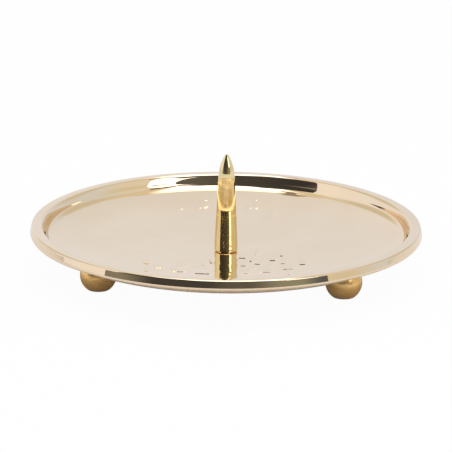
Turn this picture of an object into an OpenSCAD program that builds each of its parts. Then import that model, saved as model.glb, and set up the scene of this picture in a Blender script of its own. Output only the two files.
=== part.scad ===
// Pricket candle plate in polished brass.
// A shallow dish with a solid rim stands on three ball feet, and a spike in its middle holds the candle.
// The origin is on the table under the spike. +Z is up, and the plate's front faces -Y.
// All lengths are in millimetres.

/* [Plate] */
// Overall diameter, over the widest line of the rim
plate_d = 140; // [120:1:180]
// Thickness of the dish's metal
plate_t = 1.3; // [0.8:0.1:2.5]
// Depth of the dish, from the rim's top down to the seat of the spike
dish_depth = 10.2; // [9:0.1:14]
// Radius of curvature of the dish's middle
crown_r = 570; // [450:10:900]
// Radial width of the cove that lifts the dish towards the rim
cove_w = 14; // [10:0.5:22]
// Radius of curvature of the cove
cove_r = 56; // [40:1:140]
// Radius of the fillet between the cove and the inner wall
fillet_r = 3; // [2:0.05:5]

/* [Rim] */
// Radial distance from the rim's widest line to the start of the fillet
rim_w = 7.3; // [7:0.1:12]
// Height of the rim's solid section
rim_h = 3.65; // [3:0.05:5]
// Lean of the inner wall away from upright, in degrees
wall_lean = 20; // [8:1:30]
// Lean of the outer side away from upright, in degrees
side_lean = 14; // [4:1:20]
// Radius of the rounding on the rim's inner top edge
lip_in_r = 1.2; // [0.5:0.1:1.8]
// Radius of the rounding on the rim's outer top edge
lip_out_r = 0.7; // [0.3:0.1:1.2]
// Radius of the rounding under the rim's outer side
rim_under_r = 1; // [0.4:0.1:1.5]

/* [Spike] */
// Diameter of the straight collar at the spike's base
collar_d = 8.34; // [7:0.02:12]
// Height of the collar
collar_h = 4.5; // [2:0.1:8]
// Step in radius from the collar to the tapered part
collar_step = 0.1; // [0:0.05:0.5]
// Chamfer on the collar's bottom edge
collar_chamfer = 0.25; // [0.1:0.05:0.6]
// Height of the spike above the dish
spike_h = 36; // [28:0.5:60]
// Diameter where the tapered part turns into the point
shoulder_d = 5.86; // [4:0.02:6.5]
// Length of the rounded point
point_l = 8.5; // [6:0.1:11]
// Radius of the tip
tip_r = 0.6; // [0.3:0.05:1]

/* [Spike fastener] */
// Nominal diameter of the screw that holds the spike from below
screw_d = 4; // [3:0.5:5]
// Length of screw thread inside the spike
screw_grip = 6; // [4:0.5:10]
// Extra depth of the tapped hole past the screw's end
tap_spare = 2; // [1:0.5:4]
// Diameter of the screw's head
screw_head_d = 7.6; // [6:0.1:9]
// Height of the screw's head
screw_head_h = 2.4; // [1.5:0.1:3]
// Radius of the rounding on the screw's head
screw_head_r = 1; // [0.3:0.1:1.2]
// Width of the screwdriver slot
slot_w = 1.2; // [0.8:0.1:1.6]
// Depth of the screwdriver slot
slot_depth = 1; // [0.5:0.1:1.2]
// Outer diameter of the washer under the head
washer_d = 9; // [8:0.1:12]
// Thickness of the washer
washer_t = 0.8; // [0.5:0.1:1.2]

/* [Feet] */
// Diameter of each ball foot
foot_d = 13; // [11:0.1:16]
// Radial distance from the rim's widest line to the middle of each foot
foot_inset = 20.2; // [18:0.1:30]
// Diameter of the flat on which each ball stands
foot_flat_d = 7.8; // [2:0.1:9]
// Height of the dish's underside above a ball's centre
foot_seat_h = 3.65; // [3:0.01:4.5]
// Direction of the rear foot, in degrees from +X
foot_start = 90; // [0:5:90]

/* [Foot studs] */
// Nominal diameter of the stud that holds each foot
stud_d = 4; // [3:0.5:5]
// Length of stud inside the ball, below the flange
stud_grip = 5; // [3:0.5:6]
// Diameter of the stud's flange
flange_d = 6; // [5:0.1:7]
// Height of the stud's flange at its axis
flange_h = 0.9; // [0.6:0.1:1.5]
// Extra depth of the hole in the ball past the stud's end
stud_spare = 0.8; // [0.5:0.1:1]

/* [Fits] */
// Radial clearance of a thread in its tapped hole
thread_clear = 0.05; // [0.03:0.01:0.1]
// Radial clearance of the screw in the dish and in the washer
hole_clear = 0.25; // [0.1:0.05:0.5]
// Radial margin of the flat lands around the spike and the washer
land_margin = 0.5; // [0.2:0.1:1]
// Clearance around and over the stud's flange
flange_clear = 0.15; // [0.05:0.05:0.4]

/* [Hidden] */
$fn = 96;
brass = [0.86, 0.72, 0.47];
satin_brass = [0.78, 0.61, 0.34];
steel = [0.75, 0.75, 0.77];

// Feet, evenly spaced around the spike
foot_count = 3;

// Overlap by which one cutting shape runs past another
eps = 0.01;
// Segments in each kind of arc
arc_steps = 12;
crown_steps = 14;
// Sides of the round solids that show
plate_fn = 240;
ball_fn = 128;

// Radii of the rim and of the places where the dish changes its curve
rim_r = plate_d / 2;
cove_end = rim_r - rim_w;
cove_start = cove_end - cove_w;

// Flat lands in the middle of the dish, for the spike above and the washer below
top_land = collar_d / 2 + land_margin;
under_land = washer_d / 2 + land_margin;

// Slopes of the dish in degrees, where each curve starts and ends
land_slope = asin(top_land / crown_r);
crown_slope = asin(cove_start / crown_r);
cove_slope = asin(sin(crown_slope) + cove_w / cove_r);
wall_slope = 90 - wall_lean;
under_slope = asin(under_land / (crown_r + plate_t));

// Centres of the dish's curves: [radius, height above the spike's seat]
crown_c = [0, crown_r * cos(land_slope)];
cove_c = crown_c + (crown_r - cove_r) * [sin(crown_slope), -cos(crown_slope)];
fillet_c = cove_c + (cove_r - fillet_r) * [sin(cove_slope), -cos(cove_slope)];

// Height of the underside above the spike's seat, at a radius under the crown or under the cove
function crown_under(r) = crown_c[1] - sqrt(pow(crown_r + plate_t, 2) - r * r);
function cove_under(r) = cove_c[1] - sqrt(pow(cove_r + plate_t, 2) - pow(r - cove_c[0], 2));
cove_under_start = cove_c[0] + (cove_r + plate_t) * sin(crown_slope);
function dish_under(r) = r < cove_under_start ? crown_under(r) : cove_under(r);

// Heights above the table
ball_z = sqrt(pow(foot_d / 2, 2) - pow(foot_flat_d / 2, 2));
foot_ring_r = rim_r - foot_inset;
foot_top = ball_z + foot_seat_h;
floor_z = foot_top - dish_under(foot_ring_r);
washer_seat = floor_z + crown_under(under_land);
rim_top = floor_z + dish_depth;
rim_bottom = rim_top - rim_h;

// Outer side of the rim: the two roundings and the leaning line that touches both
rim_under_c = [rim_r - rim_under_r, rim_bottom + rim_under_r];
lip_out_z = rim_top - lip_out_r;
lip_out_x = rim_under_c[0]
    + (rim_under_r - lip_out_r - (lip_out_z - rim_under_c[1]) * sin(side_lean)) / cos(side_lean);

// Inner side of the rim: where the leaning wall starts and ends
wall_foot = fillet_c + fillet_r * [sin(wall_slope), -cos(wall_slope)];
wall_top_h = dish_depth - lip_in_r * (1 - cos(wall_slope));
wall_top_x = wall_foot[0] + (wall_top_h - wall_foot[1]) / tan(wall_slope);
lip_in_x = wall_top_x + lip_in_r * sin(wall_slope);

// Slope at which the underside's fillet meets the rim's flat bottom
rim_meet = acos(max(0, min(cos(cove_slope), (floor_z + fillet_c[1] - rim_bottom) / (fillet_r + plate_t))));

// Spike: taper from the collar to the shoulder, and the arc that joins the shoulder to the tip
neck_r = collar_d / 2 - collar_step;
shoulder_r = shoulder_d / 2;
shoulder_h = spike_h - point_l;
taper = atan((neck_r - shoulder_r) / (shoulder_h - collar_h));
tip_drop = point_l - tip_r;
point_r = (pow(shoulder_r, 2) + pow(tip_drop, 2) - pow(tip_r, 2))
    / (2 * (shoulder_r * cos(taper) - tip_drop * sin(taper) - tip_r));
point_c = [shoulder_r - point_r * cos(taper), shoulder_h - point_r * sin(taper)];
tip_slope = acos(-point_c[0] / (point_r - tip_r));

// Screw and stud
screw_r = screw_d / 2;
head_top = washer_seat - washer_t;
stud_r = stud_d / 2;
flange_bottom = foot_top - flange_h;

// Points of an arc about c from angle a0 to angle a1, measured from +X
function arc(c, r, a0, a1, n) =
    [for (i = [0 : n]) c + r * [cos(a0 + (a1 - a0) * i / n), sin(a0 + (a1 - a0) * i / n)]];

// Points of a dish curve about c from slope s0 to slope s1, lifted to its height above the table
function dish_arc(c, r, s0, s1, n) = arc([c[0], c[1] + floor_z], r, s0 - 90, s1 - 90, n);

function without_first(points) = [for (i = [1 : len(points) - 1]) points[i]];

// Upper side of the dish from the axis to the foot of the inner wall
function top_line() = concat(
    [[0, floor_z]],
    dish_arc(crown_c, crown_r, land_slope, crown_slope, crown_steps),
    without_first(dish_arc(cove_c, cove_r, crown_slope, cove_slope, arc_steps)),
    without_first(dish_arc(fillet_c, fillet_r, cove_slope, wall_slope, arc_steps)));

// Underside of the dish from the axis to the flat bottom of the rim
function under_line() = concat(
    [[0, washer_seat]],
    dish_arc(crown_c, crown_r + plate_t, under_slope, crown_slope, crown_steps),
    without_first(dish_arc(cove_c, cove_r + plate_t, crown_slope, cove_slope, arc_steps)),
    without_first(dish_arc(fillet_c, fillet_r + plate_t, cove_slope, rim_meet, arc_steps)));

// Lip and outer side of the rim, from the inner wall's top to the rim's flat bottom
function rim_line() = concat(
    arc([lip_in_x, rim_top - lip_in_r], lip_in_r, 90 + wall_slope, 90, arc_steps),
    arc([lip_out_x, lip_out_z], lip_out_r, 90, side_lean, arc_steps),
    arc(rim_under_c, rim_under_r, side_lean, -90, arc_steps));

function reversed(points) = [for (i = [len(points) - 1 : -1 : 0]) points[i]];

// Dish and rim, turned and hammered from one piece
module plate() {
    color(brass)
        difference() {
            rotate_extrude($fn = plate_fn)
                polygon(concat(top_line(), rim_line(), reversed(under_line())));
            translate([0, 0, washer_seat - eps])
                cylinder(h = floor_z - washer_seat + 2 * eps, r = screw_r + hole_clear);
        }
}

// Everything above the underside of the dish, out to the rim: it trims what is fixed under the dish
module above_underside() {
    rotate_extrude($fn = plate_fn)
        polygon(concat(under_line(), [[rim_r, rim_bottom], [rim_r, rim_top], [0, rim_top]]));
}

// Spike with a tapped hole in its base
module spike() {
    collar_r = collar_d / 2;
    color(brass)
        translate([0, 0, floor_z])
            difference() {
                rotate_extrude()
                    polygon(concat(
                        [[0, 0], [collar_r - collar_chamfer, 0], [collar_r, collar_chamfer]],
                        [[collar_r, collar_h], [neck_r, collar_h]],
                        arc(point_c, point_r, taper, tip_slope, arc_steps),
                        without_first(arc([0, spike_h - tip_r], tip_r, tip_slope, 90, arc_steps))));
                translate([0, 0, -eps])
                    cylinder(h = screw_grip + tap_spare + eps, r = screw_r + thread_clear);
            }
}

// Slotted screw from below, through the washer and the dish into the spike
module spike_screw() {
    head_r = screw_head_d / 2;
    color(steel)
        difference() {
            union() {
                translate([0, 0, head_top - eps])
                    cylinder(h = floor_z + screw_grip - head_top + eps, r = screw_r);
                rotate_extrude()
                    polygon(concat(
                        [[0, head_top], [0, head_top - screw_head_h]],
                        arc([head_r - screw_head_r, head_top - screw_head_h + screw_head_r],
                            screw_head_r, -90, 0, arc_steps),
                        [[head_r, head_top]]));
            }
            translate([-screw_head_d, -slot_w / 2, head_top - screw_head_h - eps])
                cube([2 * screw_head_d, slot_w, slot_depth + eps]);
        }
}

// Flat washer between the screw's head and the dish
module spike_washer() {
    color(steel)
        translate([0, 0, washer_seat - washer_t])
            difference() {
                cylinder(h = washer_t, r = washer_d / 2);
                translate([0, 0, -eps])
                    cylinder(h = washer_t + 2 * eps, r = screw_r + hole_clear);
            }
}

// Puts its children under the foot with this number, counted from the rear foot
module at_foot(number) {
    rotate(foot_start + number * 360 / foot_count)
        translate([foot_ring_r, 0, 0])
            children();
}

// Ball foot: flat below, trimmed to the dish above, with a stepped hole for its stud
module foot(number) {
    hole_bottom = flange_bottom - flange_clear - stud_grip - stud_spare;
    color(satin_brass)
        difference() {
            at_foot(number)
                difference() {
                    translate([0, 0, ball_z])
                        sphere(d = foot_d, $fn = ball_fn);
                    translate([-foot_d, -foot_d, -foot_d])
                        cube([2 * foot_d, 2 * foot_d, foot_d]);
                    translate([0, 0, hole_bottom])
                        cylinder(h = foot_d, r = stud_r + thread_clear);
                    translate([0, 0, flange_bottom - flange_clear])
                        cylinder(h = foot_d, r = flange_d / 2 + flange_clear);
                }
            above_underside();
        }
}

// Stud fixed to the underside of the dish, with a flange that fits the dish's curve
module foot_stud(number) {
    color(brass)
        difference() {
            at_foot(number)
                union() {
                    translate([0, 0, flange_bottom - stud_grip])
                        cylinder(h = stud_grip + flange_h, r = stud_r);
                    translate([0, 0, flange_bottom])
                        cylinder(h = foot_d / 2, r = flange_d / 2);
                }
            above_underside();
        }
}

plate();
spike();
spike_screw();
spike_washer();
foot(0);  // foot_back
foot(1);  // foot_left
foot(2);  // foot_right
foot_stud(0);  // foot_back_stud
foot_stud(1);  // foot_left_stud
foot_stud(2);  // foot_right_stud
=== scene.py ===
"""Looks of a candle plate in hammered, polished brass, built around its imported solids.

The frame is in metres, +Z up, with the origin on the table under the spike. The meshes here are
drawn in millimetres and scaled once, in add_mesh.
"""

import math
import random

import bpy
import numpy as np
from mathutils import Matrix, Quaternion, Vector


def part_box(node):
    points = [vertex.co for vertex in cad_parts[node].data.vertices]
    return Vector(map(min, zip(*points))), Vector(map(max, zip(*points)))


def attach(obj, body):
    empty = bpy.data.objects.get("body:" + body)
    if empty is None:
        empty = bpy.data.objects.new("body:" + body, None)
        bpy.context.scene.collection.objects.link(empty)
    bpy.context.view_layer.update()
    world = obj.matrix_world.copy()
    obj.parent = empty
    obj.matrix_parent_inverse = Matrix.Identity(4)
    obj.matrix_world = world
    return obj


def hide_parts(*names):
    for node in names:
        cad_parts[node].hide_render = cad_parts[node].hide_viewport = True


MM = 0.001
FEET = ("back", "left", "right")

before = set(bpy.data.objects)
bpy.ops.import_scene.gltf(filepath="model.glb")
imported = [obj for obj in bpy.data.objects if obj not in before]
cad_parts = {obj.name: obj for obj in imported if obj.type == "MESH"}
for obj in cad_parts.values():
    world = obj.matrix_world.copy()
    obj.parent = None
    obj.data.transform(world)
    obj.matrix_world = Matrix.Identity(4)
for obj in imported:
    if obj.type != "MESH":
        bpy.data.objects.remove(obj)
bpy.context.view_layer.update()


def node_box(name):
    """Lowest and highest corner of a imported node, in millimetres."""
    low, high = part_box(name)
    return low / MM, high / MM


# Sizes and places, in millimetres

plate_low, plate_high = node_box("plate")
spike_low, spike_high = node_box("spike")

RIM_R = plate_high.x
RIM_TOP = plate_high.z
SEAT_Z = spike_low.z
UNDER_Z = plate_low.z

# Dish: a nearly flat crown, a cove that lifts it, and a fillet up into the inner wall
CROWN_R = 570
COVE_R = 56
FILLET_R = 3
PLATE_T = 1.3
RIM_W = 7.3
COVE_W = 14
LAND_R = 4.67
UNDER_LAND_R = 5.0
BORE_R = 2.25

# Rim: the inner wall leans further out towards the lip
WALL_FOOT_SLOPE = math.radians(77)
WALL_TOP_SLOPE = math.radians(64)
LIP_IN_R = 1.2
LIP_OUT_R = 0.7
SIDE_LEAN = math.radians(14)
RIM_H = 3.65
RIM_UNDER_R = 1.0

# Spike
COLLAR_R = spike_high.x
COLLAR_H = 4.5
COLLAR_TAPER = 0.07
COLLAR_STEP = 0.02
CREASE_H = 0.05
SPIKE_H = spike_high.z - spike_low.z
POINT_L = 8.5
SHOULDER_R = 2.93
TIP_R = 0.6
SPIKE_BORE_R = 2.05
SPIKE_BORE_H = 8.0
NECK_R = COLLAR_R - COLLAR_TAPER - COLLAR_STEP
SHOULDER_H = SPIKE_H - POINT_L
SPIKE_TAPER = math.atan((NECK_R - SHOULDER_R) / (SHOULDER_H - COLLAR_H))

# The collar's bottom edge is cut back, which leaves a thin dark line on the dish: steps from the
# collar's radius, with their heights
COLLAR_BASE = [(-0.9, 0), (-0.8, 0.3), (-0.15, 0.36), (0, 0.5)]

# The spike was straightened by hand: heights with the slope of its front there, in degrees from upright
SPIKE_FRONT = [
    (0, 1.2), (9, 1.2), (11.5, 0.4), (15.3, 0.3), (15.6, 1.9), (15.8, 3.0), (17, 3.35), (18, 3.4),
    (19, 3.1), (22, 1.9), (24, 1.1), (26, 0.2), (27.5, -0.3),
]

# Depths of the unevenness that buffing left on the spike's shaft
LONG_WAVE = 0.002
SHORT_WAVE = 0.0006

# Feet, and the studs that hold them
FOOT_FLAT_R = 3.9
STUD_R = 2.0
STUD_GRIP = 5.0
STUD_SPARE = 0.8
THREAD_CLEAR = 0.05
FLANGE_CLEAR = 0.15

# How far a ball is drawn past the dish before it is trimmed, and the angle of the edge around its flat
BALL_OVERLAP = 1.0
FLAT_EDGE = 0.05

# Sides of the turned meshes
PLATE_SIDES = 720
SPIKE_SIDES = 96
FOOT_SIDES = 96

# Azimuths count from the front (-Y) towards +X; the camera stands a little to the right of it
VIEW_AZIMUTH = math.radians(4)
VIEW_ELEVATION = math.radians(16.399)


# Outlines

def arc(centre, radius, start, end, steps):
    """Points of an arc from angle start to angle end, in radians from +X."""
    angles = np.linspace(start, end, steps + 1)
    return np.column_stack([centre[0] + radius * np.cos(angles), centre[1] + radius * np.sin(angles)])


def slope_arc(centre, radius, start, end, steps):
    """Points under the arc's centre, from one slope to another."""
    return arc(centre, radius, start - math.pi / 2, end - math.pi / 2, steps)


def join(*runs):
    """One outline from runs of points, without the points that they share."""
    points = [np.asarray(runs[0], float)]
    for run in runs[1:]:
        run = np.asarray(run, float)
        same = np.allclose(run[0], points[-1][-1], atol=1e-6)
        points.append(run[1:] if same else run)
    return np.vstack(points)


cove_end = RIM_R - RIM_W
cove_start = cove_end - COVE_W
land_slope = math.asin(LAND_R / CROWN_R)
crown_slope = math.asin(cove_start / CROWN_R)
cove_slope = math.asin(math.sin(crown_slope) + COVE_W / COVE_R)


def towards_cove(centre, distance, slope):
    """A centre moved along the dish's normal, so that the next curve starts where this one ends."""
    return centre + distance * np.array([math.sin(slope), -math.cos(slope)])


crown_centre = np.array([0, SEAT_Z + CROWN_R * math.cos(land_slope)])
cove_centre = towards_cove(crown_centre, CROWN_R - COVE_R, crown_slope)
fillet_centre = towards_cove(cove_centre, COVE_R - FILLET_R, cove_slope)


def dish_line():
    """The dish's upper side, from its bore out to the lip."""
    land = [[radius, SEAT_Z] for radius in np.linspace(BORE_R, LAND_R, 5)]
    crown = slope_arc(crown_centre, CROWN_R, land_slope, crown_slope, 120)
    cove = slope_arc(cove_centre, COVE_R, crown_slope, cove_slope, 44)
    fillet = slope_arc(fillet_centre, FILLET_R, cove_slope, WALL_FOOT_SLOPE, 22)
    foot = fillet[-1]
    rise = RIM_TOP - foot[1] - LIP_IN_R * (1 - math.cos(WALL_TOP_SLOPE))
    wall_r = rise / (math.cos(WALL_TOP_SLOPE) - math.cos(WALL_FOOT_SLOPE))
    wall_centre = foot + wall_r * np.array([math.sin(WALL_FOOT_SLOPE), -math.cos(WALL_FOOT_SLOPE)])
    wall = arc(wall_centre, wall_r, math.pi / 2 + WALL_FOOT_SLOPE, math.pi / 2 + WALL_TOP_SLOPE, 14)
    lip_centre = [wall[-1][0] + LIP_IN_R * math.sin(WALL_TOP_SLOPE), RIM_TOP - LIP_IN_R]
    lip = arc(lip_centre, LIP_IN_R, math.pi / 2 + WALL_TOP_SLOPE, math.pi / 2, 12)
    return join(land, crown, cove, fillet, wall, lip)


def side_line():
    """The rim's outer side, from the flat top down to the flat bottom."""
    bottom = RIM_TOP - RIM_H
    under_centre = [RIM_R - RIM_UNDER_R, bottom + RIM_UNDER_R]
    lip_z = RIM_TOP - LIP_OUT_R
    lean = (lip_z - under_centre[1]) * math.sin(SIDE_LEAN)
    lip_x = under_centre[0] + (RIM_UNDER_R - LIP_OUT_R - lean) / math.cos(SIDE_LEAN)
    top = arc([lip_x, lip_z], LIP_OUT_R, math.pi / 2, SIDE_LEAN, 10)
    under = arc(under_centre, RIM_UNDER_R, SIDE_LEAN, -math.pi / 2, 12)
    side = np.linspace(top[-1], under[0], 8)
    return join(top, side, under)


def under_line():
    """The dish's underside, from the rim's flat bottom in to the bore."""
    bottom = RIM_TOP - RIM_H
    meet = math.acos((fillet_centre[1] - bottom) / (FILLET_R + PLATE_T))
    land_edge = math.asin(UNDER_LAND_R / (CROWN_R + PLATE_T))
    fillet = slope_arc(fillet_centre, FILLET_R + PLATE_T, meet, cove_slope, 12)
    cove = slope_arc(cove_centre, COVE_R + PLATE_T, cove_slope, crown_slope, 10)
    crown = slope_arc(crown_centre, CROWN_R + PLATE_T, crown_slope, land_edge, 20)
    return join(fillet, cove, crown, [[UNDER_LAND_R, UNDER_Z], [BORE_R, UNDER_Z]])


def under_height(radius):
    """Height of the dish's underside at a distance from the axis."""
    line = under_line()[::-1]
    return np.interp(radius, line[:, 0], line[:, 1])


# Meshes

def add_mesh(name, points, faces, sharp=40):
    """A new smooth object from points in millimetres."""
    mesh = bpy.data.meshes.new(name)
    mesh.from_pydata((np.asarray(points, float) * MM).tolist(), [], faces)
    mesh.polygons.foreach_set("use_smooth", [True] * len(mesh.polygons))
    mesh.set_sharp_from_angle(angle=math.radians(sharp))
    mesh.update()
    piece = bpy.data.objects.new(name, mesh)
    bpy.context.scene.collection.objects.link(piece)
    return piece


def turned(line, turns, closed=False):
    """Points and faces of an outline turned about the axis. An open outline starts and ends on the axis."""
    line = np.asarray(line, float)
    inner = line if closed else line[1:-1]
    rows = len(inner)
    angles = np.arange(turns) * 2 * math.pi / turns
    around = np.column_stack([np.cos(angles), np.sin(angles)])
    points = np.empty((turns, rows, 3))
    points[:, :, 0] = around[:, :1] * inner[:, 0]
    points[:, :, 1] = around[:, 1:] * inner[:, 0]
    points[:, :, 2] = inner[:, 1]
    points = points.reshape(-1, 3)
    faces = []
    for turn in range(turns):
        here = turn * rows
        there = (turn + 1) % turns * rows
        for row in range(rows - 1):
            faces.append((here + row, there + row, there + row + 1, here + row + 1))
        if closed:
            faces.append((here + rows - 1, there + rows - 1, there, here))
    if not closed:
        first = len(points)
        points = np.vstack([points, [0, 0, line[0][1]], [0, 0, line[-1][1]]])
        for turn in range(turns):
            here = turn * rows
            there = (turn + 1) % turns * rows
            faces.append((first, there, here))
            faces.append((here + rows - 1, there + rows - 1, first + 1))
    return points, faces


def smoothstep(value, low, high):
    share = np.clip((value - low) / (high - low), 0, 1)
    return share * share * (3 - 2 * share)


# Hammer marks

# Even marks, planished in rings from the middle outwards. They fade before the cove starts. The turn
# jitter is a share of the spacing, and the curve is the depth of a mark per square of the distance.
FIRST_RING_R = 8.0
MARK_SPACING = 4.5
RING_SPACING = 0.92 * MARK_SPACING
TURN_JITTER = 0.22
REACH_JITTER = 0.9
LIFT_JITTER = 0.006
MARK_CURVE = 0.0035
MARK_BLEND = 0.004
EVEN_FADE = 10

# Deeper marks: x, y, width and steepness in degrees. Each is a flat facet that falls
# towards the rear over its reach, and then rises slowly.
DEEP_MARKS = [
    (-22, -27.1, 3.3, 4.05), (-14.8, -30.7, 6, 3.74), (-13.9, -25.1, 3.1, 4.11),
    (-6.9, -20.3, 2, 4.35), (-7, -27.2, 5.8, 3.95), (-6.1, -32, 6.4, 3.68),
    (-4, -16.6, 1.5, 4.58), (-26.6, -22.6, 2.5, 4.7), (-25.6, -32.7, 1.6, 3.75),
    (6.4, -9.5, 3.6, 4.2), (11.8, -7.4, 2, 4.3), (17.3, -12.2, 3, 4.05),
    (20.2, -6.3, 1.8, 4.3), (21.4, -16.5, 2.6, 3.75), (28.2, -17.7, 3.2, 3.7),
    (17.1, -21.4, 2, 3.5), (23.3, -24.1, 5, 3.35), (11, -25, 2.4, 3.3),
    (24, -31.4, 1.6, 2.9), (10.4, -13.2, 4, 4.0), (12.1, -17.1, 3.4, 3.8),
    (7.4, -19.7, 2.9, 3.65), (15.8, -28, 5.4, 3.1), (9.1, -30.3, 4.2, 3.0),
    (11.3, -4.4, 2, 5.15),
]
MARK_REACH = 2.2

# Where a deeper mark's rise ends, in reaches from its middle, and how square its sides are
MARK_RISE_END = 3.5
MARK_SQUARENESS = 8

# A deeper mark wipes out the even ones over this many times its own width
COVER_WIDTH = 1.5

# Small pits near the back: x, y and width. Their near side is longer than the far one.
PITS = [
    (-20.5, 45.7, 1.7), (-13.6, 47.8, 1.2), (-11.4, 53.3, 1.5),
    (5.1, 49.6, 1.7), (7.7, 54.8, 1.1), (14.6, 46.6, 1.6),
]
PIT_STEEPNESS = math.tan(math.radians(14))
PIT_REACH = 0.4
PIT_NEAR_SIDE = 18

# The hammering starts outside the spike's land and ends before the fillet, over these distances
LAND_MARGIN = 0.3
LAND_FADE = 3
FILLET_MARGIN = 0.5
FILLET_FADE = 5


def planished_marks(rng):
    """Centres and lifts of the even hammer marks, laid in rings from the middle outwards."""
    marks = []
    radius = FIRST_RING_R
    while radius < cove_end:
        count = round(2 * math.pi * radius / MARK_SPACING)
        start = rng.random()
        for index in range(count):
            angle = 2 * math.pi * (index + start + rng.uniform(-TURN_JITTER, TURN_JITTER)) / count
            reach = radius + rng.uniform(-REACH_JITTER, REACH_JITTER)
            lift = rng.uniform(-LIFT_JITTER, LIFT_JITTER)
            marks.append((reach * math.cos(angle), reach * math.sin(angle), lift))
        radius += RING_SPACING
    return np.array(marks)


def even_depth(flat):
    """Depth of the even marks at each point, about their mean."""
    marks = planished_marks(random.Random(11))
    lift = np.empty(len(flat))
    block_size = 4000
    for start in range(0, len(flat), block_size):
        block = flat[start:start + block_size]
        gap = ((block[:, None, :] - marks[None, :, :2]) ** 2).sum(2)
        bowl = MARK_CURVE * gap + marks[None, :, 2]
        least = bowl.min(1)
        shared = np.exp((least[:, None] - bowl) / MARK_BLEND).sum(1)
        lift[start:start + block_size] = least - MARK_BLEND * np.log(shared)
    mean = MARK_CURVE * (MARK_SPACING / 2) ** 2
    return mean - lift


def hammered(points):
    """How far the hammering moves each point of the dish down, in millimetres."""
    flat = points[:, :2]
    radius = np.hypot(flat[:, 0], flat[:, 1])
    covered = np.zeros(len(points))
    depth = np.zeros(len(points))
    for x, y, width, steepness in DEEP_MARKS:
        deep = math.tan(math.radians(steepness)) * MARK_REACH
        across = (flat[:, 0] - x) / (width / 2)
        along = (flat[:, 1] - y) / MARK_REACH
        fall = np.clip(along + 0.5, 0, 1) * (1 - smoothstep(along, 0.5, MARK_RISE_END))
        level = MARK_REACH ** 2 / (2 * CROWN_R) * fall * (1 - fall)
        depth += (deep * fall - level) * np.exp(-across ** MARK_SQUARENESS)
        covered = np.maximum(covered, np.exp(-((across / COVER_WIDTH) ** 4 + along ** 4)))
    inside_cove = 1 - smoothstep(radius, cove_start - EVEN_FADE, cove_start)
    depth += even_depth(flat) * (1 - covered) * inside_cove
    for x, y, width in PITS:
        across = (flat[:, 0] - x) / (width / 2)
        along = (flat[:, 1] - y) / PIT_REACH
        along = np.where(along < 0, along / PIT_NEAR_SIDE, along)
        deep = PIT_STEEPNESS * PIT_REACH * math.sqrt(math.e)
        depth += deep * np.exp(-(across ** 2 + along ** 2) / 2)
    off_land = smoothstep(radius, LAND_R + LAND_MARGIN, LAND_R + LAND_FADE)
    off_fillet = 1 - smoothstep(radius, cove_end - FILLET_FADE, cove_end - FILLET_MARGIN)
    return depth * off_land * off_fillet


def make_plate():
    """The dish with its rim, hammered on its upper side."""
    top = dish_line()
    outline = join(top, side_line(), under_line())
    points, faces = turned(outline, PLATE_SIDES, closed=True)
    on_top = np.arange(len(points)) % len(outline) < len(top)
    points[on_top, 2] -= hammered(points[on_top])
    return add_mesh("hammered_plate", points, faces)


# Spike and feet

def spike_line():
    """Outline of the spike from its bore up to the tip, above its seat."""
    drop = POINT_L - TIP_R
    point_r = (SHOULDER_R ** 2 + drop ** 2 - TIP_R ** 2) / (
        2 * (SHOULDER_R * math.cos(SPIKE_TAPER) - drop * math.sin(SPIKE_TAPER) - TIP_R))
    point_centre = [SHOULDER_R - point_r * math.cos(SPIKE_TAPER),
                    SHOULDER_H - point_r * math.sin(SPIKE_TAPER)]
    tip_slope = math.acos(-point_centre[0] / (point_r - TIP_R))
    bore = [[0, SPIKE_BORE_H], [SPIKE_BORE_R, SPIKE_BORE_H], [SPIKE_BORE_R, 0]]
    base = [[COLLAR_R + step, height] for step, height in COLLAR_BASE]
    collar = np.linspace(base[-1], [COLLAR_R - COLLAR_TAPER, COLLAR_H - CREASE_H], 8)
    shaft = np.linspace([NECK_R, COLLAR_H], [SHOULDER_R, SHOULDER_H], 120)
    point = arc(point_centre, point_r, SPIKE_TAPER, tip_slope, 18)
    tip = arc([0, SPIKE_H - TIP_R], TIP_R, tip_slope, math.pi / 2, 8)
    return join(bore, base, collar, shaft, point, tip)


def front_shift(height):
    """How far the spike stands forward of its axis, so that its front gets its slopes."""
    collar_taper = math.degrees(math.atan(COLLAR_TAPER / COLLAR_H))
    steps = np.linspace(0, SPIKE_H, 400)
    front = np.interp(steps, *zip(*SPIKE_FRONT))
    taper = np.where(steps < COLLAR_H, collar_taper, math.degrees(SPIKE_TAPER))
    lean = np.tan(np.radians(taper - front))
    moved = np.concatenate([[0], np.cumsum((lean[1:] + lean[:-1]) / 2 * np.diff(steps))])
    return np.interp(height, steps, moved)


def make_spike():
    """The spike, a little uneven from buffing and bent to its front's slopes."""
    points, faces = turned(spike_line(), SPIKE_SIDES)
    height = points[:, 2]
    angle = np.arctan2(points[:, 1], points[:, 0])
    long_wave = LONG_WAVE * np.sin(height * 0.7 + 1.3 * np.sin(angle))
    short_wave = SHORT_WAVE * np.sin(height * 2.3 + 2 * angle)
    on_shaft = smoothstep(height, 5, 8) * (1 - smoothstep(height, SPIKE_H - 6, SPIKE_H - 2))
    wave = (long_wave + short_wave) * on_shaft
    radius = np.maximum(np.hypot(points[:, 0], points[:, 1]), 1e-6)
    points[:, :2] *= (1 + wave / radius)[:, None]
    shift = front_shift(height)
    points[:, 0] += shift * math.sin(VIEW_AZIMUTH)
    points[:, 1] -= shift * math.cos(VIEW_AZIMUTH)
    points[:, 2] += SEAT_Z
    return add_mesh("bent_spike", points, faces, sharp=12)


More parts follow.
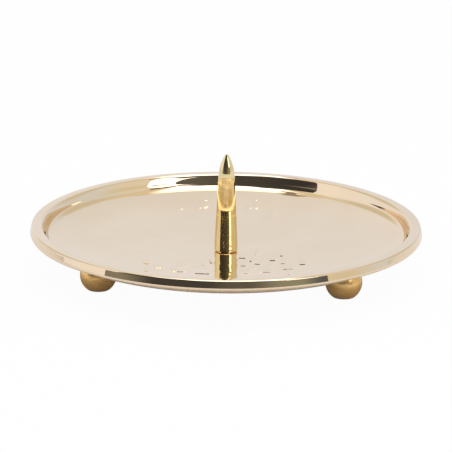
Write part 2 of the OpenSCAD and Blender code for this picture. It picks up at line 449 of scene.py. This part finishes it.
def make_foot(side):
    """A ball foot: flat below, fitted to the dish above, with a stepped hole for its stud."""
    low, high = node_box("foot_" + side)
    stud_low, stud_high = node_box("foot_" + side + "_stud")
    middle = (low + high) / 2
    ball_r = (high.x - low.x) / 2
    ball_z = math.sqrt(ball_r ** 2 - FOOT_FLAT_R ** 2)
    hole_r = STUD_R + THREAD_CLEAR
    hole_z = stud_low.z - STUD_SPARE
    step_r = (stud_high.x - stud_low.x) / 2 + FLANGE_CLEAR
    step_z = stud_low.z + STUD_GRIP - FLANGE_CLEAR
    top_z = high.z + BALL_OVERLAP
    top_angle = math.asin((top_z - ball_z) / ball_r)
    flat_angle = -math.acos(FOOT_FLAT_R / ball_r)
    hole = [[0, hole_z], [hole_r, hole_z], [hole_r, step_z], [step_r, step_z], [step_r, top_z]]
    edge = [[ball_r * math.cos(top_angle), top_z]]
    ball = arc([0, ball_z], ball_r, top_angle, flat_angle + FLAT_EDGE, 40)
    points, faces = turned(join(hole, edge, ball, [[FOOT_FLAT_R, 0], [0, 0]]), FOOT_SIDES)
    points[:, 0] += middle.x
    points[:, 1] += middle.y
    roof = under_height(np.hypot(points[:, 0], points[:, 1]))
    points[:, 2] = np.minimum(points[:, 2], roof)
    return add_mesh("ball_foot_" + side, points, faces)


# Materials

class Nodes:
    """Shorthand for the node tree of a material or of the world."""

    def __init__(self, owner):
        self.owner = owner
        owner.use_nodes = True
        self.tree = owner.node_tree
        self.tree.nodes.clear()

    def add(self, kind, settings=(), **inputs):
        """A new node. An input is named by its socket, with _ for a space, or numbered, as in i0."""
        made = self.tree.nodes.new("ShaderNode" + kind)
        for key, value in dict(settings).items():
            setattr(made, key, value)
        for key, value in inputs.items():
            numbered = key[1:].isdigit()
            self.put(value, made.inputs[int(key[1:]) if numbered else key.replace("_", " ")])
        return made

    def put(self, value, socket):
        """Links an output to a socket, or gives the socket a plain value."""
        if isinstance(value, bpy.types.NodeSocket):
            self.tree.links.new(value, socket)
        else:
            socket.default_value = value

    def math(self, operation, first, second=0.0):
        return self.add("Math", {"operation": operation}, i0=first, i1=second).outputs[0]

    def ramp(self, value, low, high, out_low, out_high):
        """Value from one range, carried over smoothly to another."""
        made = self.add("MapRange", {"interpolation_type": "SMOOTHSTEP"}, Value=value)
        made.inputs["From Min"].default_value = low
        made.inputs["From Max"].default_value = high
        made.inputs["To Min"].default_value = out_low
        made.inputs["To Max"].default_value = out_high
        return made.outputs["Result"]

    def mix(self, share, first, second):
        """One colour carried over to another."""
        made = self.add("Mix", {"data_type": "RGBA"}, Factor=share)
        for number, colour in ((6, first), (7, second)):
            plain = isinstance(colour, tuple)
            self.put((*colour, 1) if plain else colour, made.inputs[number])
        return made.outputs[2]

    def noise(self, vector, scale, detail=2.0, roughness=0.5):
        made = self.add("TexNoise", Vector=vector, Scale=scale, Detail=detail, Roughness=roughness)
        return made.outputs["Fac"]

    def position(self):
        return self.add("TexCoord").outputs["Object"]

    def split(self, vector):
        return self.add("SeparateXYZ", i0=vector).outputs

    def turning(self, along=3.0, across=1000.0):
        """Coordinates in which a noise becomes fine lines that run around the part's axis."""
        x, y, z = self.split(self.position())
        squares = self.math("ADD", self.math("MULTIPLY", x, x), self.math("MULTIPLY", y, y))
        radius = self.math("POWER", squares, 0.5)
        safe = self.math("MAXIMUM", radius, 1e-5)
        fine = self.math("MULTIPLY", self.math("ADD", radius, z), across)
        around_x = self.math("MULTIPLY", self.math("DIVIDE", x, safe), along)
        around_y = self.math("MULTIPLY", self.math("DIVIDE", y, safe), along)
        return self.add("CombineXYZ", X=around_x, Y=around_y, Z=fine).outputs[0]

    def bump(self, height, distance, normal=None):
        made = self.add("Bump", Strength=1.0, Distance=distance, Height=height)
        if normal is not None:
            self.tree.links.new(normal, made.inputs["Normal"])
        return made.outputs[0]

    def finish(self, shader):
        """The material, with this shader on its surface."""
        self.add("OutputMaterial", Surface=shader.outputs[0])
        return self.owner

    def metal(self, colour, roughness, normal):
        return self.finish(self.add("BsdfPrincipled", Base_Color=colour, Metallic=1.0,
                                    Roughness=roughness, Normal=normal))

    def light(self, colour, strength=1.0, sampled=True):
        """A glowing material. One that isn't sampled lights only what a ray happens to meet."""
        material = self.finish(self.add("Emission", Color=colour, Strength=strength))
        if not sampled:
            material.cycles.emission_sampling = "NONE"
        return material


def new_material(name):
    return Nodes(bpy.data.materials.new(name))


def polished_brass():
    """Polished sheet brass: fine lines around the rim, a faint patina, and a duller underside."""
    n = new_material("polished_brass")
    patina = n.noise(n.position(), 55.0, 3.0)
    colour = n.mix(n.ramp(patina, 0.35, 0.7, 0, 1), (0.875, 0.715, 0.53), (0.86, 0.69, 0.50))
    lines = n.noise(n.turning(), 1.0, 3.0, 0.6)
    cloud = n.noise(n.position(), 220.0, 2.0)
    facing = n.split(n.add("NewGeometry").outputs["Normal"])[2]
    under = n.ramp(facing, -0.75, -0.45, 1, 0)
    shine = n.math("ADD", n.ramp(lines, 0.3, 0.75, 0.02, 0.04), n.ramp(cloud, 0.4, 0.8, 0, 0.01))
    roughness = n.math("ADD", shine, n.math("MULTIPLY", under, 0.2))
    normal = n.bump(lines, 0.0000004)
    return n.metal(colour, roughness, normal)


def spike_brass():
    """Turned brass, buffed by hand: fine lines around it and soft dents."""
    n = new_material("spike_brass")
    patina = n.noise(n.position(), 260.0, 3.0)
    colour = n.mix(n.ramp(patina, 0.35, 0.7, 0, 1), (0.865, 0.725, 0.43), (0.85, 0.69, 0.37))
    lines = n.noise(n.turning(2.0, 1500.0), 1.0, 4.0, 0.65)
    roughness = n.ramp(lines, 0.3, 0.75, 0.05, 0.11)
    normal = n.bump(lines, 0.0000005)
    dents = n.noise(n.position(), 400.0, 1.0)
    return n.metal(colour, roughness, n.bump(dents, 0.0000012, normal))


def satin_brass():
    """Cast balls, tumbled to a satin finish, with painted shade that darkens them towards the table."""
    n = new_material("satin_brass")
    patina = n.noise(n.position(), 240.0, 4.0, 0.6)
    # Painted shade: the lowest 4 mm of each ball is mixed up to half way towards dark brown, standing in
    # for the shadow where it meets the table.
    height = n.split(n.position())[2]
    low = n.ramp(height, 0.0, 0.004, 1, 0)
    worn = n.mix(n.ramp(patina, 0.35, 0.7, 0, 1), (0.84, 0.55, 0.23), (0.78, 0.48, 0.175))
    colour = n.mix(n.math("MULTIPLY", low, 0.5), worn, (0.40, 0.25, 0.12))
    roughness = n.ramp(patina, 0.3, 0.7, 0.27, 0.35)
    grain = n.noise(n.position(), 1200.0, 2.0)
    return n.metal(colour, roughness, n.bump(grain, 0.000004))


def stud_brass():
    """Plain turned brass, left dull where it is out of sight."""
    n = new_material("stud_brass")
    lines = n.noise(n.position(), 900.0, 3.0)
    colour = n.mix(n.ramp(lines, 0.35, 0.7, 0, 1), (0.74, 0.57, 0.34), (0.64, 0.46, 0.25))
    return n.metal(colour, n.ramp(lines, 0.3, 0.7, 0.25, 0.4), n.bump(lines, 0.00001))


def fastener_steel():
    """Turned steel with fine lines around it."""
    n = new_material("fastener_steel")
    lines = n.noise(n.turning(4.0, 3500.0), 1.0, 3.0, 0.6)
    cloud = n.noise(n.position(), 500.0, 3.0)
    colour = n.mix(n.ramp(cloud, 0.35, 0.7, 0, 1), (0.66, 0.65, 0.62), (0.55, 0.54, 0.5))
    return n.metal(colour, n.ramp(lines, 0.3, 0.75, 0.22, 0.4), n.bump(lines, 0.000005))


# Studio

# The cards stand around a point a little below the rim's top
CENTRE_DROP = 3.915
STUDIO_CENTRE = Vector((0, 0, (RIM_TOP - CENTRE_DROP) * MM))

# Brightness of the soft lamps
LAMP = 2.3

# Overhead lamp, in metres and in degrees of elevation of its front and back edges
OVERHEAD_HEIGHT = 1.0
OVERHEAD_HALF_WIDTH = 0.6
OVERHEAD_FRONT = math.radians(46)
OVERHEAD_BACK = math.radians(51.5)

# The tent's darker wings, left and right behind the plate: their middle, and the angles from it
# within which a wing is full and past which it has faded
WING_AZIMUTH = math.radians(130)
WING_ELEVATION = math.radians(35)
WING_INNER = math.radians(10)
WING_OUTER = math.radians(30)

# Stations of the curved cards: azimuth, lowest and highest elevation, in degrees
RIGHT_SOFTBOX = [
    (20, 26, 60), (26, 20, 60), (31, 3, 60), (44, 3, 60), (47, 3, 52), (50, 3, 45), (51.5, 3, 33.5),
    (53.3, 6, 29.5), (54.5, 14, 25),
]
FRONT_FLAG = [
    (-81.5, 52.8, 53.8), (-79.7, 51, 56.8), (-77.8, 49.4, 58.2), (-74.4, 45.5, 60.8),
    (-72.2, 42, 63), (-70, 39, 65.5), (-68, 34, 69), (-65.5, 26, 71), (-63, 14, 73),
    (-61.5, -5, 73.5), (-60, -5, 74), (-50, -5, 73), (-27.6, -5, 67.3), (-15.2, -5, 66.2),
    (-3.7, -5, 63.6), (11.3, -5, 60.4), (19, -5, 59.8), (20, -5, 35.5), (26, -5, 31.5),
    (30.5, -5, 26.9), (33.4, -5, 20.7), (34.6, -5, 16), (35, -5, 12),
]
FLAG_EDGE = [
    (19, 36, 59.8), (26, 33, 59.4), (29, 32, 56.1), (30.5, 31, 49), (33.5, 31.5, 45.7),
    (36, 33.5, 44.5), (38.5, 36.1, 46), (43.5, 39.3, 49.8), (48.4, 41.4, 52), (53.1, 42.5, 53.6),
    (58, 43.4, 54.6), (62.4, 44.5, 55.5), (67, 49, 56), (72, 53, 56),
]
BACK_GAP = [
    (-174, 46, 49), (-173, 45, 51.5), (-170.5, 45.8, 54.7), (-168, 50, 57), (-165, 53.5, 59.5),
    (-160, 57.5, 62.5), (-155, 61, 65.3), (-149, 63.5, 67), (-142, 66, 68),
]

# How white the floor looks to the camera, and in the metal
FLOOR_SEEN = 0.965
FLOOR_MIRRORED = 0.08

# Camera: metres from its aim, its aim beside the studio's centre, its lens and its roll
CAMERA_DISTANCE = 1.05
AIM_UP = 0.002612
AIM_LEFT = 0.000054
SENSOR_WIDTH = 36
LENS = 233.65
CAMERA_ROLL = math.radians(-0.513)


def direction(azimuth, elevation):
    """Unit vector for an azimuth from the camera's side, counted towards its right, and an elevation."""
    turn = VIEW_AZIMUTH + math.radians(azimuth)
    rise = math.radians(elevation)
    return Vector((math.sin(turn) * math.cos(rise), -math.cos(turn) * math.cos(rise), math.sin(rise)))


def hang_card(card, material, lights=True):
    """Dresses a card, hides it from the camera and keeps its shadow off the object."""
    card.data.materials.append(material)
    card.visible_camera = False
    card.visible_shadow = False
    card.visible_diffuse = lights


def add_card(name, distance, stations, material, lights=True):
    """A curved card around the object, metres away.

    A station is an azimuth with the card's lowest and highest elevation there, in degrees.
    """
    stations = np.array(stations, float)
    azimuths = np.arange(stations[0, 0], stations[-1, 0] + 0.01, 1.0)
    lows = np.interp(azimuths, stations[:, 0], stations[:, 1])
    highs = np.interp(azimuths, stations[:, 0], stations[:, 2])
    steps = 8
    points, faces = [], []
    for azimuth, low, high in zip(azimuths, lows, highs):
        for elevation in np.linspace(low, high, steps + 1):
            points.append((STUDIO_CENTRE + direction(azimuth, elevation) * distance) / MM)
    for column in range(len(azimuths) - 1):
        for row in range(steps):
            corner = column * (steps + 1) + row
            faces.append((corner, corner + 1, corner + steps + 2, corner + steps + 1))
    hang_card(add_mesh(name, points, faces), material, lights)


def add_overhead():
    """A softbox overhead, level, whose light fades towards its sides."""
    n = new_material("overhead_light")
    turned_back = n.add("Mapping", {"vector_type": "POINT"}, Vector=n.position(),
                        Rotation=(0, 0, -VIEW_AZIMUTH))
    x, y = n.split(turned_back.outputs[0])[:2]
    outwards = n.math("ADD", n.math("ABSOLUTE", x), n.math("MULTIPLY", y, 0.3))
    fade = n.ramp(outwards, 0.31, 0.44, 0, 1)
    tone = n.mix(fade, (LAMP, LAMP, LAMP), (0.80, 0.73, 0.54))
    front = -OVERHEAD_HEIGHT / math.tan(OVERHEAD_FRONT)
    back = OVERHEAD_HEIGHT / math.tan(OVERHEAD_BACK)
    left, right = -OVERHEAD_HALF_WIDTH, OVERHEAD_HALF_WIDTH
    turn = Quaternion((0, 0, 1), VIEW_AZIMUTH)
    corners = [(left, front), (right, front), (right, back), (left, back)]
    points = [turn @ Vector((*corner, OVERHEAD_HEIGHT)) / MM for corner in corners]
    hang_card(add_mesh("overhead_softbox", points, [(0, 1, 2, 3)]), n.light(tone))


def seen_directly(n, camera_share, mirror_share):
    """How much of the plain white background a ray takes: from the camera, or from metal."""
    path = n.add("LightPath")
    mirror = n.math("MAXIMUM", path.outputs["Is Glossy Ray"], path.outputs["Is Transmission Ray"])
    return n.math("MAXIMUM", n.math("MULTIPLY", path.outputs["Is Camera Ray"], camera_share),
                  n.math("MULTIPLY", mirror, mirror_share))


def add_floor():
    """A pale, matt floor that keeps the object's shadow."""
    n = new_material("pale_floor")
    cloth = n.noise(n.position(), 3.0, 2.0)
    matt = n.add("BsdfDiffuse", Color=n.mix(cloth, (0.63, 0.625, 0.615), (0.66, 0.655, 0.645)))
    white = n.add("Emission", Strength=1.0)
    seen = seen_directly(n, FLOOR_SEEN, FLOOR_MIRRORED)
    mixed = n.add("MixShader", i0=seen, i1=matt.outputs[0], i2=white.outputs[0])
    half = 2000
    corners = [(-half, -half, 0), (half, -half, 0), (half, half, 0), (-half, half, 0)]
    floor = add_mesh("floor", corners, [(0, 1, 2, 3)])
    floor.data.materials.append(n.finish(mixed))


def add_world():
    """Soft light from all around, plain white where it is seen or mirrored."""
    world = bpy.data.worlds.new("studio")
    bpy.context.scene.world = world
    n = Nodes(world)
    soft = n.add("Background", Color=(0.9, 0.9, 0.92, 1))
    white = n.add("Background", Color=(1, 1, 1, 1))
    seen = seen_directly(n, 1.0, 1.0)
    mixed = n.add("MixShader", i0=seen, i1=soft.outputs[0], i2=white.outputs[0])
    n.add("OutputWorld", Surface=mixed.outputs[0])


def tent_tone():
    """The tent's tone: cool behind, neutral in front on the left, warm elsewhere, with darker wings."""
    n = new_material("tent_tone")
    x, y, z = n.split(n.position())
    across = n.ramp(x, -1.2, 1.2, 0, 1)
    behind = n.mix(across, (0.934, 0.939, 0.977), (0.747, 0.798, 0.864))
    low_right = n.mix(n.ramp(z, 0.3, 0.6, 0, 1), (0.76, 0.72, 0.56), (0.84, 0.80, 0.70))
    before = n.mix(across, (1.0, 1.0, 1.0), low_right)
    above = n.mix(across, (0.95, 0.90, 0.82), (0.77, 0.69, 0.50))
    around = n.mix(n.ramp(y, -0.5, 0.5, 0, 1), before, behind)
    side = n.add("CombineXYZ", X=n.math("ABSOLUTE", x), Y=y, Z=z).outputs[0]
    towards = n.add("VectorMath", {"operation": "NORMALIZE"}, i0=side).outputs["Vector"]
    wing = (math.sin(WING_AZIMUTH) * math.cos(WING_ELEVATION),
            -math.cos(WING_AZIMUTH) * math.cos(WING_ELEVATION), math.sin(WING_ELEVATION))
    facing = n.add("VectorMath", {"operation": "DOT_PRODUCT"}, i0=towards, i1=wing)
    wings = n.ramp(facing.outputs["Value"], math.cos(WING_OUTER), math.cos(WING_INNER), 0, 1)
    around = n.mix(wings, around, (0.70, 0.66, 0.53))
    return n.light(n.mix(n.ramp(z, 1.15, 1.4, 0, 1), around, above), sampled=False)


def flag_tone():
    """The front flag's tone: a little lighter at its ends, and darkest left of the middle."""
    n = new_material("flag_tone")
    x = n.split(n.position())[0]
    left = n.mix(n.ramp(x, -0.86, -0.68, 0, 1), (0.13, 0.122, 0.12), (0.046, 0.044, 0.047))
    right = n.mix(n.ramp(x, -0.1, 0.4, 0, 1), (0.066, 0.064, 0.058), (0.125, 0.122, 0.11))
    return n.light(n.mix(n.ramp(x, -0.65, -0.2, 0, 1), left, right), sampled=False)


def low_flag_tone():
    """The low flag's tone: grey at its left end, dark in the middle and lighter on the right."""
    n = new_material("low_flag_tone")
    x, y = n.split(n.position())[:2]
    turn = n.math("ARCTAN2", x, n.math("MULTIPLY", y, -1.0))
    azimuth = n.math("SUBTRACT", n.math("MULTIPLY", turn, math.degrees(1)), math.degrees(VIEW_AZIMUTH))
    tone = n.mix(n.ramp(azimuth, -58, -36, 0, 1), (0.26, 0.245, 0.20), (0.065, 0.062, 0.062))
    tone = n.mix(n.ramp(azimuth, -12, 6, 0, 1), tone, (0.125, 0.118, 0.10))
    tone = n.mix(n.ramp(azimuth, 10, 31, 0, 1), tone, (0.29, 0.30, 0.23))
    tone = n.mix(n.ramp(azimuth, 38, 52, 0, 1), tone, (0.12, 0.125, 0.13))
    return n.light(tone, sampled=False)


def add_studio():
    """A tent with soft lamps, and dark cards that draw the dark shapes in the metal."""
    white = new_material("softbox_white").light((1.0, 1.0, 1.0, 1), LAMP)
    grey = new_material("gap_grey").light((0.36, 0.32, 0.26, 1))
    dark = flag_tone()
    add_card("tent", 1.6, [(-180, -3, 90), (180, -3, 90)], tent_tone(), lights=False)
    add_card("right_softbox", 1.2, RIGHT_SOFTBOX, white)
    add_card("front_flag", 0.95, FRONT_FLAG, dark, lights=False)
    add_card("flag_edge", 0.94, FLAG_EDGE, dark, lights=False)
    add_card("low_flag", 0.35, [(-65.7, -8, 13), (55.0, -8, 13)], low_flag_tone(), lights=False)
    add_card("back_gap", 1.0, BACK_GAP, grey, lights=False)
    add_overhead()


def add_camera():
    """The photograph's view: a long lens, a little from the right and above."""
    back = direction(0, math.degrees(VIEW_ELEVATION))
    right = Vector((math.cos(VIEW_AZIMUTH), math.sin(VIEW_AZIMUTH), 0))
    up = back.cross(right)
    target = STUDIO_CENTRE + up * AIM_UP - right * AIM_LEFT
    lens = bpy.data.cameras.new("camera")
    lens.sensor_width = SENSOR_WIDTH
    lens.lens = LENS
    camera = bpy.data.objects.new("camera", lens)
    bpy.context.scene.collection.objects.link(camera)
    camera.location = target + back * CAMERA_DISTANCE
    camera.rotation_mode = "QUATERNION"
    roll = Quaternion(-back, CAMERA_ROLL)
    camera.rotation_quaternion = roll @ (-back).to_track_quat("-Z", "Y")
    bpy.context.scene.camera = camera


# The object

def finish_piece(piece, material, *nodes):
    """Gives a piece its finish, puts it in place of its nodes and fixes it to the body."""
    piece.data.materials.clear()
    piece.data.materials.append(material)
    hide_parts(*nodes)
    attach(piece, "root")


finish_piece(make_plate(), polished_brass(), "plate")
finish_piece(make_spike(), spike_brass(), "spike")
satin = satin_brass()
for side in FEET:
    finish_piece(make_foot(side), satin, "foot_" + side)


def dress(node, material):
    """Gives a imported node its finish."""
    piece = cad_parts[node]
    piece.data.materials.clear()
    piece.data.materials.append(material)


stud = stud_brass()
for side in FEET:
    dress("foot_" + side + "_stud", stud)
steel = fastener_steel()
dress("spike_screw", steel)
dress("spike_washer", steel)

add_world()
add_floor()
add_studio()
add_camera()
bpy.context.scene.view_settings.view_transform = "Standard"
